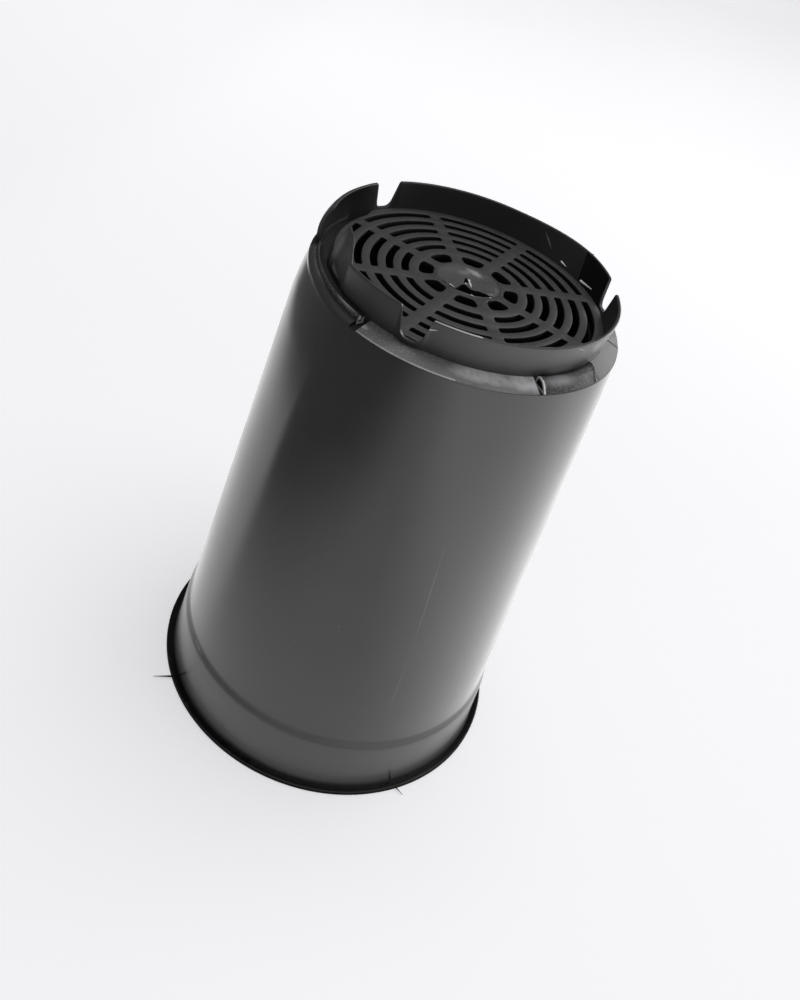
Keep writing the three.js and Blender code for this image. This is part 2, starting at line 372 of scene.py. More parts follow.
class Nodes:
    """Short calls for building one material's node tree."""

    def __init__(self, name: str) -> None:
        """Starts a material with a Principled shader and its object coordinates.

        Args:
            name: the material's name.
        """
        self.material = bpy.data.materials.new(name)
        self.material.use_nodes = True
        self.tree = self.material.node_tree
        self.shader = self.tree.nodes["Principled BSDF"]
        self.place = self.tree.nodes.new("ShaderNodeTexCoord").outputs["Object"]

    def link(self, value: object, socket: bpy.types.NodeSocket) -> None:
        """Sets a socket to a number or colour, or links a node's output to it."""
        if isinstance(value, bpy.types.NodeSocket):
            self.tree.links.new(value, socket)
        else:
            socket.default_value = value

    def add(self, kind: str, inputs: dict[str | int, object], **settings: str) -> bpy.types.Node:
        """Adds a node.

        Args:
            kind: its type, without the leading ShaderNode.
            inputs: a number, a colour or an output for each input, by name or place.
            settings: the node's own settings.

        Returns:
            The node.
        """
        node = self.tree.nodes.new("ShaderNode" + kind)
        for setting, value in settings.items():
            setattr(node, setting, value)
        for socket, value in inputs.items():
            self.link(value, node.inputs[socket])
        return node

    def shade(self, inputs: dict[str, object]) -> None:
        """Sets inputs of the Principled shader to numbers, colours or outputs."""
        for socket, value in inputs.items():
            self.link(value, self.shader.inputs[socket])

    def math(self, kind: str, first: object, second: object) -> bpy.types.NodeSocket:
        """Gives the result of an operation on two values or outputs."""
        return self.add("Math", {0: first, 1: second}, operation=kind).outputs[0]

    def stretch(self, scale: tuple[float, float, float]) -> bpy.types.NodeSocket:
        """Gives object coordinates with each axis scaled, so that a pattern runs long along one of them."""
        return self.add("Mapping", {"Vector": self.place, "Scale": scale}).outputs[0]

    def noise(
        self, size: float, detail: float = 3, place: object = None, rough: float = 0.5
    ) -> bpy.types.NodeSocket:
        """Adds a Noise texture.

        Args:
            size: the pattern's rough size in metres.
            detail: octaves.
            place: coordinates, or None for the object's own.
            rough: how strongly the octaves show.

        Returns:
            The pattern's socket, from 0 to 1.
        """
        inputs = {"Vector": place or self.place, "Scale": 1 / size, "Detail": detail, "Roughness": rough}
        return self.add("TexNoise", inputs).outputs["Fac"]

    def specks(self, spacing: float) -> bpy.types.NodeSocket:
        """Adds a Voronoi texture and gives the distance from each speck's middle, in cells."""
        return self.add("TexVoronoi", {"Vector": self.place, "Scale": 1 / spacing}).outputs["Distance"]

    def band(
        self, value: object, low: float, high: float, start: float = 0.0, end: float = 1.0
    ) -> bpy.types.NodeSocket:
        """Maps a value from one range to another and holds it at the ends.

        Args:
            value: the value or output.
            low: where the change starts.
            high: where it ends.
            start: the result at low.
            end: the result at high.

        Returns:
            The result's socket.
        """
        inputs = {0: value, 1: low, 2: high, 3: start, 4: end}
        return self.add("MapRange", inputs, interpolation_type="SMOOTHSTEP").outputs[0]

    def mix(self, share: object, first: object, second: object) -> bpy.types.NodeSocket:
        """Mixes two colours."""
        return self.add("Mix", {0: share, 6: first, 7: second}, data_type="RGBA").outputs[2]

    def axes(self) -> bpy.types.NodeOutputs:
        """Gives the object coordinates apart, as outputs named X, Y and Z."""
        return self.add("SeparateXYZ", {0: self.place}).outputs

    def length(self, place: object) -> bpy.types.NodeSocket:
        """Gives the distance from the origin of some coordinates."""
        return self.add("VectorMath", {0: place}, operation="LENGTH").outputs["Value"]

    def from_axis(self) -> bpy.types.NodeSocket:
        """Gives the distance from the pot's axis."""
        flat = self.add("VectorMath", {0: self.place, 1: (1, 1, 0)}, operation="MULTIPLY")
        return self.length(flat.outputs[0])

    def feather(self, start: Vector, end: Vector, half_width: float) -> bpy.types.NodeSocket:
        """Gives a soft spindle that runs from one point to another.

        Args:
            start: one tip.
            end: the other tip.
            half_width: its half width in the middle.

        Returns:
            1 in the middle of the spindle, falling to 0 at its skin.
        """
        inputs = {
            "Vector": self.place,
            "Location": (start + end) / 2,
            "Rotation": (end - start).to_track_quat("Z", "Y").to_euler(),
            "Scale": (half_width, half_width, (end - start).length / 2),
        }
        spindle = self.add("Mapping", inputs, vector_type="TEXTURE")
        return self.band(self.length(spindle.outputs[0]), 1.0, 0.3)

    def bump(self, heights: list[tuple[object, float]]) -> None:
        """Chains bumps into the shader's normal.

        Args:
            heights: each pattern with the height that it stands for, in metres.
        """
        chained = {}
        for pattern, rise in heights:
            node = self.add("Bump", {"Height": pattern, "Distance": rise, **chained})
            chained = {"Normal": node.outputs[0]}
        self.shade(chained)


def grey(value: float) -> tuple[float, float, float, float]:
    """Gives a neutral colour."""
    return (value, value, value * 1.02, 1.0)


@dataclass(frozen=True)
class Streak:
    """A soft pale mark between two points, each a radius, an angle and a height, in mm and degrees."""

    start: tuple[float, float, float]
    end: tuple[float, float, float]
    half_width: float
    share: float

    def tips(self) -> list[Vector]:
        """Gives the mark's two ends as points."""
        return [on_circle(radius * MM, turn, height * MM) for radius, turn, height in (self.start, self.end)]


@dataclass(frozen=True)
class MouldedPlastic:
    """Near-black moulded polypropylene, with grain, scuffs, dust and pale streaks; on several finishes the
    streaks are painted highlights.
    """

    name: str
    tone: float
    # Tone of the dust, the scuffs and the pale streaks, which on several finishes paint highlights
    dust_and_highlight_tone: float
    gloss: float
    grain: float
    scuffs: float
    dust: float
    sheen: float = 0.5
    streaks: tuple[Streak, ...] = ()
    cloud_size: float = 35 * MM
    fine_size: float = 0.9 * MM
    drawn_size: float = 3 * MM
    drawn_stretch: float = 0.12
    speck_spacing: float = 7 * MM
    dust_patch: float = 18 * MM
    rub_size: float = 0.7 * MM
    speck_edge: tuple[float, float] = (0.055, 0.02)
    patch_edge: tuple[float, float] = (0.5, 0.6)
    rub_edge: tuple[float, float] = (0.45, 0.65)
    bloom_edge: tuple[float, float] = (0.3, 0.75)
    broken_edge: tuple[float, float, float, float] = (0.2, 0.6, 0.5, 1.0)
    wear_share: float = 0.6
    gloss_edge: tuple[float, float] = (0.25, 0.75)
    gloss_low: float = -0.04
    gloss_high: float = 0.05
    drawn_rough: float = 0.06
    wear_rough: float = 0.2
    drawn_bump: float = 1.5
    refraction: float = 1.49

    @functools.cache
    def material(self) -> bpy.types.Material:
        """Builds the finish once, for all the pieces that wear it.

        Returns:
            The material.
        """
        nodes = Nodes(self.name)
        clouds = nodes.noise(self.cloud_size, 4)
        fine = nodes.noise(self.fine_size, 3)
        drawn = nodes.noise(self.drawn_size, 4, nodes.stretch((1.0, 1.0, self.drawn_stretch)), 0.65)
        specks = nodes.band(nodes.specks(self.speck_spacing), *self.speck_edge)
        patches = nodes.band(nodes.noise(self.dust_patch, 2), *self.patch_edge)
        rubs = nodes.band(nodes.noise(self.rub_size, 2), *self.rub_edge)
        dusty = nodes.math("MULTIPLY", specks, patches)
        wear = nodes.math("MAXIMUM", nodes.math("MULTIPLY", rubs, self.scuffs), dusty)
        bloom = nodes.math("MULTIPLY", nodes.band(clouds, *self.bloom_edge), self.dust)
        share = nodes.math("MAXIMUM", nodes.math("MULTIPLY", wear, self.wear_share), bloom)
        broken = nodes.band(drawn, *self.broken_edge)
        # Streaks mix toward the pale tone: on the wall, pad and lug finishes they paint highlights and light
        for streak in self.streaks:
            soft = nodes.math("MULTIPLY", nodes.feather(*streak.tips(), streak.half_width * MM), streak.share)
            share = nodes.math("MAXIMUM", share, nodes.math("MULTIPLY", soft, broken))
        least, most = self.gloss + self.gloss_low, self.gloss + self.gloss_high
        rough = nodes.band(clouds, *self.gloss_edge, least, most)
        rough = nodes.math("ADD", rough, nodes.math("MULTIPLY", drawn, self.drawn_rough))
        rough = nodes.math("ADD", rough, nodes.math("MULTIPLY", wear, self.wear_rough))
        nodes.bump([(fine, self.grain), (drawn, self.grain * self.drawn_bump)])
        nodes.shade({
            "Base Color": nodes.mix(share, grey(self.tone), grey(self.dust_and_highlight_tone)),
            "Roughness": rough,
            "IOR": self.refraction,
            "Specular IOR Level": self.sheen,
        })
        return nodes.material


# Pale marks that paint the thin highlights along the two mould lines and along a flash whisker on the collar
WALL_HIGHLIGHT_STREAKS = (
    Streak((67.8, 24.1, 162.8), (72.8, 27.6, 96.1), 0.4, 0.5),
    Streak((72.8, 27.6, 96.1), (76.6, 28.1, 46.0), 0.4, 0.35),
    Streak((68.6, -60.3, 152.1), (73.8, -67.8, 82.7), 0.45, 0.45),
    Streak((78.2, -52.0, 32.0), (78.4, -42.0, 31.2), 1.0, 0.9),
)
FOOT_STREAKS = (
    Streak((57.5, 59.0, 238.5), (57.0, 70.0, 234.0), 3.2, 0.5),
    Streak((57.6, 49.3, 239.6), (57.4, 56.2, 236.8), 0.35, 0.9),
    Streak((56.1, 145.0, 230.4), (56.0, 130.0, 229.9), 0.4, 0.5),
    Streak((57.0, 158.3, 238.0), (56.3, 151.0, 231.8), 0.5, 1.0),
    Streak((56.3, 38.0, 229.0), (56.3, 58.0, 229.0), 3.0, 0.3),
    Streak((56.3, 55.0, 229.0), (56.3, 77.0, 229.0), 3.0, 0.35),
    Streak((57.3, -5.4, 236.1), (57.4, -2.8, 237.4), 0.4, 0.8),
    Streak((51.0, -75.0, 241.5), (54.0, -64.0, 224.0), 6.0, 0.35),
)
# Pale marks that paint the light falling on the front pad's right half, and a highlight at its left end
PAD_LIGHT_STREAKS = (
    Streak((60.5, 0.0, 226.0), (60.5, 34.0, 226.0), 5.5, 0.9),
    Streak((60.5, 18.0, 226.0), (60.5, 52.0, 226.0), 6.5, 1.0),
    Streak((60.0, -29.0, 226.5), (60.0, -24.0, 226.5), 1.6, 0.7),
)
# Pale marks that paint highlights on the lugs' crowns, the left bead's crest and tip, and the right lug's end
# and cross ridge
LUG_HIGHLIGHT_STREAKS = (
    Streak((60.0, 36.0, 227.0), (60.0, 56.0, 227.0), 3.5, 0.8),
    Streak((56.5, 38.6, 228.0), (63.5, 38.6, 226.0), 1.2, 1.0),
    Streak((62.5, -78.0, 226.0), (62.5, -44.0, 226.0), 3.0, 0.25),
    Streak((58.8, 60.0, 228.2), (58.8, 66.5, 228.2), 0.7, 0.6),
    Streak((58.7, -46.0, 228.0), (58.7, -29.0, 228.0), 1.8, 1.0),
    Streak((59.6, -79.0, 228.6), (59.6, -36.0, 228.6), 2.8, 0.45),
    Streak((57.3, 67.4, 228.0), (62.9, 63.2, 226.2), 0.5, 0.9),
)
HUB_STREAKS = (
    Streak((11.5, 205.0, 229.5), (8.5, 140.0, 229.5), 2.6, 0.8),
    Streak((7.0, 250.0, 229.5), (9.0, 175.0, 229.5), 2.2, 0.35),
)

SATIN = MouldedPlastic(
    "satin plastic", tone=0.02, dust_and_highlight_tone=0.16, gloss=0.14, grain=0.003 * MM, scuffs=0.0, dust=0.03,
    streaks=WALL_HIGHLIGHT_STREAKS,
)
COLLAR = MouldedPlastic(
    "collar plastic", tone=0.028, dust_and_highlight_tone=0.16, gloss=0.3, grain=0.003 * MM, scuffs=0.0, dust=0.05,
    streaks=WALL_HIGHLIGHT_STREAKS[-1:],
)
FOOT_SATIN = MouldedPlastic(
    "foot plastic", tone=0.026, dust_and_highlight_tone=0.3, gloss=0.38, grain=0.01 * MM, scuffs=0.03, dust=0.05,
    streaks=FOOT_STREAKS,
)
GLOSS = MouldedPlastic(
    "lip plastic", tone=0.003, dust_and_highlight_tone=0.03, gloss=0.12, grain=0.003 * MM, scuffs=0.1, dust=0.02, sheen=0.25
)
GRILLE = MouldedPlastic(
    "grille plastic", tone=0.036, dust_and_highlight_tone=0.2, gloss=0.42, grain=0.02 * MM, scuffs=0.2, dust=0.1
)
HUB = MouldedPlastic(
    "torn hub plastic", tone=0.07, dust_and_highlight_tone=0.4, gloss=0.34, grain=0.02 * MM, scuffs=0.12, dust=0.2,
    streaks=HUB_STREAKS,
)
# Grained pad finish whose streaks paint light on the front pad's right half
PAD = MouldedPlastic(
    "grained pad plastic with painted light", tone=0.052, dust_and_highlight_tone=0.55, gloss=0.45, grain=0.08 * MM, scuffs=0.5, dust=0.3,
    streaks=PAD_LIGHT_STREAKS,
)
# Worn lug tops, with streaks of painted highlight
LUG_WORN_HIGHLIT = MouldedPlastic(
    "worn lug plastic with painted highlights", tone=0.022, dust_and_highlight_tone=0.34, gloss=0.46, grain=0.08 * MM, scuffs=0.5, dust=0.12,
    sheen=0.28, streaks=LUG_HIGHLIGHT_STREAKS,
)
# Paints a highlight on worn edges: the foot's front top edge and the front pad's outer edge
HIGHLIT_WORN_EDGE = MouldedPlastic(
    "worn edge plastic with painted highlight", tone=0.14, dust_and_highlight_tone=0.7, gloss=0.3, grain=0.02 * MM, scuffs=0.6, dust=0.8
)
# Near-white finish: painted highlights on the lug ends, bright floor painted into the slits at the grille's
# edge, and pale flecks by the hub's crack
PALE_AND_HIGHLIGHT = MouldedPlastic(
    "pale plastic and painted highlight", tone=0.85, dust_and_highlight_tone=0.9, gloss=0.3, grain=0.02 * MM, scuffs=0.6, dust=0.6
)
# Near-black finish that paints shade on the foot's inner face by the right notch
INNER_PAINTED_SHADE = MouldedPlastic(
    "foot inner painted shade", tone=0.004, dust_and_highlight_tone=0.05, gloss=0.5, grain=0.01 * MM, scuffs=0.03, dust=0.1,
    sheen=0.2,
)
SHADED = MouldedPlastic(
    "shaded plastic", tone=0.003, dust_and_highlight_tone=0.05, gloss=0.55, grain=0.02 * MM, scuffs=0.1, dust=0.15
)


@dataclass(frozen=True)
class Lip:
    """The glossy flange round the mouth, which the pot stands on."""

    edge_round: float = 0.55 * MM
    clearance: float = 0.01 * MM
    steps: int = 360
    ragged_from: float = -72
    ragged_to: float = -8
    ragged_fade: float = 8
    ragged_rise: float = 0.35 * MM
    ragged_band: float = 0.4 * MM
    ragged_pitch: float = 0.55
    reach_in: float = 2.7 * MM
    inner_round: float = 0.2 * MM
    row: float = 1.2 * MM
    # Two whiskers off the flange's edge, each followed by a dark line on the collar that paints its shadow
    whiskers_and_shadows: tuple[Shred, ...] = (
        (84.8, -51.6, 1.6, 93.6, -53.0, 1.2, 0.55),
        (81.5, -51.3, 2.4, 80.9, -48.5, 9.5, 0.4),
        (84.8, 40.0, 1.6, 89.6, 41.3, 1.3, 0.35),
        (81.4, 38.5, 4.0, 80.8, 37.0, 12.0, 0.22),
    )

    def build(self) -> None:
        """Spins the flange, roughens the flash line along its front left and adds its whiskers with their
        painted shadows on the collar.
        """
        low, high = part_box("rim_flange")
        radius = high.x - self.clearance
        inner = outer_radius("collar") - self.reach_in
        section = [
            (inner, low.z, self.inner_round),
            (radius, low.z, self.edge_round),
            (radius, high.z, self.edge_round),
            (inner, high.z, 0),
        ]
        mesh = ring(section, self.steps, self.row)
        fade = self.ragged_fade
        for point in mesh.verts:
            turn = angle_of(point.co)
            share = smooth_step(self.ragged_from - fade, self.ragged_from + fade, turn)
            share *= smooth_step(self.ragged_to + fade, self.ragged_to - fade, turn)
            if share > 0 and point.co.z > high.z - self.ragged_band:
                lump = max(0.0, noise.noise(Vector((turn * self.ragged_pitch, 3.1, 0.4))))
                point.co.z += share * self.ragged_rise * lump
        lay_shreds(mesh, place_shreds(self.whiskers_and_shadows), 0)
        finish_piece(mesh, "lip", [GLOSS], ["rim_flange"])


@dataclass(frozen=True)
class PotWall:
    """The collar, the shoulder and the long tapered wall, as one skin."""

    thickness: float = 1.5 * MM
    cad_flare: float = 1.2 * MM
    flare: float = 0.5 * MM
    flare_height: float = 3 * MM
    flare_round: float = 3 * MM
    neck: float = 0.3 * MM
    shoulder_round: float = 1.1 * MM
    shoulder_spread: float = 0.12 * MM
    steps: int = 240
    row: float = 8 * MM
    waviness: float = 0.16 * MM
    wave_scale: tuple[float, float, float] = (17, 17, 9)
    calm: float = 15 * MM

    def build(self) -> None:
        """Spins the section and lets the thin wall wander a little."""
        low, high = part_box("collar")
        lip_top = low.z
        root = high.x - self.cad_flare
        collar_top = outer_radius("shoulder")
        wall_low, wall_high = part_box("body_wall")
        wall_root = wall_high.x
        ledge = outer_radius("base_ledge")
        thick = self.thickness
        section = [
            (root + self.flare, lip_top, 0),
            (root - self.neck, lip_top + self.flare_height, self.flare_round),
            (collar_top, high.z - self.shoulder_spread, self.shoulder_round),
            (wall_root, wall_low.z + self.shoulder_spread, self.shoulder_round),
            (ledge, wall_high.z, 0),
            (ledge - thick, wall_high.z, 0),
            (wall_root - thick, wall_low.z, self.shoulder_round),
            (collar_top - thick, high.z, self.shoulder_round),
            (root - thick, lip_top, 0),
        ]
        mesh = ring(section, self.steps, self.row)
        for point in mesh.verts:
            share = smooth_step(lip_top, lip_top + self.calm, point.co.z)
            share *= smooth_step(wall_high.z, wall_high.z - self.calm, point.co.z)
            drift = noise.noise(Vector([size * scale for size, scale in zip(point.co, self.wave_scale)]))
            outward = Vector((point.co.x, point.co.y, 0)).normalized()
            point.co += outward * self.waviness * drift * share
        LeftDent().press(mesh)
        give_finish(mesh, 1, lambda middle, normal: middle.z < high.z)
        finish_piece(
            mesh, "pot_wall", [SATIN, COLLAR], ["collar", "shoulder", "body_wall"], 50
        )


@dataclass(frozen=True)
class NestingLedge:
    """The flat step between the wall and the foot, which runs on under the grille's edge."""

    taper: float = 0.12 * MM
    steps: int = 288
    row: float = 2.5 * MM
    reach_in: float = 5 * MM
    facing_up: float = 0.7

    def build(self) -> None:
        """Spins the ledge ring, whose outer face carries the wall's taper on."""
        low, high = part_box("base_ledge")
        radius = high.x
        inner = outer_radius("foot_root") - self.reach_in
        section = [
            (inner, low.z, 0),
            (radius, low.z, 0),
            (radius - self.taper, high.z, 0),
            (inner, high.z, 0),
        ]
        mesh = ring(section, self.steps, self.row)
        LeftDent().press(mesh)
        give_finish(mesh, 1, lambda middle, normal: normal.z > self.facing_up)
        finish_piece(mesh, "nesting_ledge", [SATIN, SHADED], ["base_ledge"])


@dataclass(frozen=True)
class LedgePad:
    """A grained stretch of the sloping band on the ledge, high at the foot and low at the wall."""

    node: str
    start: float
    end: float
    inner_rise: float = 2.8 * MM
    outer_rise: float = 0.55 * MM
    inset: float = 0.28 * MM
    overlap: float = 0.2 * MM
    edge_round: float = 0.3 * MM
    row: float = 0.8 * MM
    step: float = 0.5
    foot_share: float = 0.1
    worn_from: float = -28
    worn_to: float = 8
    worn_rise: float = 0.1

    def reach(self) -> tuple[float, float]:
        """Gives the band's inner and outer radius."""
        return outer_radius("foot_root") - self.overlap, outer_radius("base_ledge") - self.inset

    def slope_at(self, radius: float) -> float:
        """Gives the height of the plain band above the ledge at a radius."""
        inner, outer = self.reach()
        return self.outer_rise + (self.inner_rise - self.outer_rise) * (outer - radius) / (outer - inner)

    def crown(self) -> list[tuple[float, float, float]]:
        """Gives the section's corners between its outer and its inner edge, as radius, rise and rounding."""
        return []

    def shape(self, mesh: bmesh.types.BMesh, base: float) -> None:
        """Moves the swept band's inner side out to the foot where that bellies.

        Args:
            mesh: the band.
            base: height of the ledge; not used here.
        """
        foot = FootWall()
        inner = self.reach()[0]
        for point in mesh.verts:
            radius = axis_distance(point.co)
            belly = foot.shift(angle_of(point.co), self.foot_share, radius)
            if belly > 0 and radius < inner + belly:
                shift_out(point, inner + belly - radius)

    def dress(self, mesh: bmesh.types.BMesh) -> list[MouldedPlastic]:
        """Picks the finishes and gives the worn stretch of the outer edge its own, which paints a highlight
        on it.

        Args:
            mesh: the band.

        Returns:
            The finishes.
        """
        outer = self.reach()[1] - self.edge_round

        def worn(middle: Vector, normal: Vector) -> bool:
            """Picks the rounded outer edge on the worn stretch, which gets the painted highlight."""
            rounded = normal.z > self.worn_rise and axis_distance(middle) > outer
            return rounded and within(angle_of(middle), self.worn_from, self.worn_to)

        give_finish(mesh, 1, worn)
        return [PAD, HIGHLIT_WORN_EDGE]

    def build(self) -> None:
        """Sweeps the section along its stretch."""
        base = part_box(self.node)[0].z
        inner, outer = self.reach()
        mesh = wire_outline([
            (inner, base - self.overlap, 0),
            (outer, base - self.overlap, 0),
            (outer, base + self.outer_rise, self.edge_round),
            *[(radius, base + rise, rounding) for radius, rise, rounding in self.crown()],
            (inner, base + self.inner_rise, 0),
        ])
        cut_long_edges(mesh, self.row)
        sweep(mesh, self.start, self.end, self.step)
        self.shape(mesh, base)
        LeftDent().press(mesh)
        mesh.normal_update()
        finishes = self.dress(mesh)
        finish_piece(mesh, self.node.replace("denest_", ""), finishes, [self.node])


@dataclass(frozen=True)
class Lug(LedgePad):
    """A crowned stretch of the band that stops stacked pots from jamming, worn on top, with painted
    highlights and painted shade.
    """

    bead: bool = False
    bead_crown: tuple[tuple[float, float, float], ...] = (
        (60.4 * MM, 1.6 * MM, 0.3 * MM),
        (59.5 * MM, 1.2 * MM, 0.15 * MM),
        (59.3 * MM, 3.0 * MM, 0.4 * MM),
        (58.2 * MM, 3.4 * MM, 0.4 * MM),
        (57.8 * MM, 1.8 * MM, 0.15 * MM),
    )
    bead_inner: float = 57.8 * MM
    bead_outer: float = 59.5 * MM
    bar_crown: tuple[tuple[float, float, float], ...] = (
        (61.3 * MM, 2.1 * MM, 0.25 * MM),
        (59.7 * MM, 3.4 * MM, 0.5 * MM),
        (57.3 * MM, 3.6 * MM, 0.5 * MM),
    )
    plain_from: float = 65
    plain_to: float = 92
    plain_before: float = 1
    plain_after: float = 5
    plain_lag: float = 1.5
    crown_fade: float = 0.4
    ridge_middle: float = 60 * MM
    ridge_lean: float = 0.65
    ridge_half: float = 0.9
    ridge_top: float = 0.2
    ridge_rise: float = 0.7 * MM
    ends_from: float = -40
    ends_to: float = 50
    end_corners: int = 8
    end_frame: float = 0.85 * MM
    end_sink: float = 0.15 * MM
    tip_turn: float = 0.6
    tip_rise: float = 0.2

    def crown(self) -> list[tuple[float, float, float]]:
        """Gives the crown's corners: a broad bar, or a narrow bead with a groove on both sides."""
        return list(self.bead_crown if self.bead else self.bar_crown)

    def shape(self, mesh: bmesh.types.BMesh, base: float) -> None:
        """Flattens the crown on the plain stretch and leaves a cross ridge where that begins.

        Args:
            mesh: the swept bar.
            base: height of the ledge.
        """
        start, end = self.plain_from - self.plain_before, self.plain_to + self.plain_after
        for point in mesh.verts:
            radius = axis_distance(point.co)
            plain = base + self.slope_at(radius)
            turn = angle_of(point.co) + self.ridge_lean * (radius - self.ridge_middle) / MM
            if self.bead or point.co.z < base or not within(turn, start, end):
                continue
            past = turn - self.plain_from
            crowned = smooth_step(self.crown_fade, -self.crown_fade, past)
            ridge = self.ridge_rise * smooth_step(self.ridge_half, self.ridge_top, abs(past))
            point.co.z = plain + (point.co.z - plain) * crowned + ridge

    def dress(self, mesh: bmesh.types.BMesh) -> list[MouldedPlastic]:
        """Frames the end faces with a painted highlight round a middle of painted shade.

        Args:
            mesh: the bar.

        Returns:
            The finishes.
        """
        ends = []
        for face in mesh.faces:
            turn = angle_of(face.calc_center_median())
            if len(face.verts) > self.end_corners and within(turn, self.ends_from, self.ends_to):
                ends.append(face)
        framed = bmesh.ops.inset_individual(
            mesh, faces=ends, thickness=self.end_frame, depth=-self.end_sink, use_even_offset=True
        )
        # The frame gets a painted highlight, the end face inside it painted shade
        for face in framed["faces"]:
            face.material_index = 1
        for face in ends:
            face.material_index = 2
        if self.bead:
            self.dress_bead(mesh)
        else:
            self.dress_bar(mesh, framed=bool(ends))
        return [LUG_WORN_HIGHLIT, PALE_AND_HIGHLIGHT, SHADED, FOOT_SATIN]

    def dress_bar(self, mesh: bmesh.types.BMesh, framed: bool) -> None:
        """Leaves the plain stretch plain and paints a highlight on the crown's edge over a framed end.

        Args:
            mesh: the bar.
            framed: whether the bar's near end has a frame of painted highlight.
        """
        plain, tip = self.plain_from + self.plain_lag, self.start + self.tip_turn

        def framed_top(middle: Vector, normal: Vector) -> bool:
            """Picks the crown's narrow strip at the bar's near end, which gets a painted highlight."""
            return within(angle_of(middle), self.start, tip) and normal.z > self.tip_rise

        give_finish(mesh, 3, lambda middle, normal: within(angle_of(middle), plain, self.plain_to))
        if framed:
            give_finish(mesh, 1, framed_top)

    def dress_bead(self, mesh: bmesh.types.BMesh) -> None:
        """Paints shade into the groove inside the bead and on the band's outer face, and leaves the outer
        slope plain.

        Args:
            mesh: the bar.
        """
        inner, outer = self.bead_inner, self.bead_outer
        give_finish(mesh, 2, lambda middle, normal: normal.z > STEEP and axis_distance(middle) < inner)
        give_finish(mesh, 3, lambda middle, normal: normal.z > STEEP and axis_distance(middle) > outer)
        give_finish(mesh, 2, lambda middle, normal: normal.z < STEEP and axis_distance(middle) > outer)


